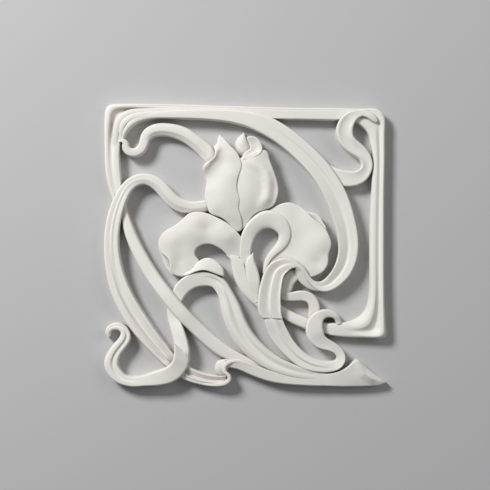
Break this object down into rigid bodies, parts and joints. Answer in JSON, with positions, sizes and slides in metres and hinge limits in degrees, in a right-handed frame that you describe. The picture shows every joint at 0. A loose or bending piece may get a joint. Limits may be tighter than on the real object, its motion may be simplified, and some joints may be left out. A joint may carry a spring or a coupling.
{
  "type": "wall relief",
  "caption": "Openwork square wall relief of an iris with whiplash ribbons and a broken frame, cast in white plaster with a flat back.",
  "frame": {"origin": "middle of the square panel, on its flat back", "axes": "X to the right of the ornament, Y to its top, Z out of its face"},
  "size_m": [0.2998, 0.3, 0.0223],
  "materials": {
    "plaster": "satin"
  },
  "bodies": {
    "root": {"iris_relief": "plaster"}
  },
  "joints": []
}
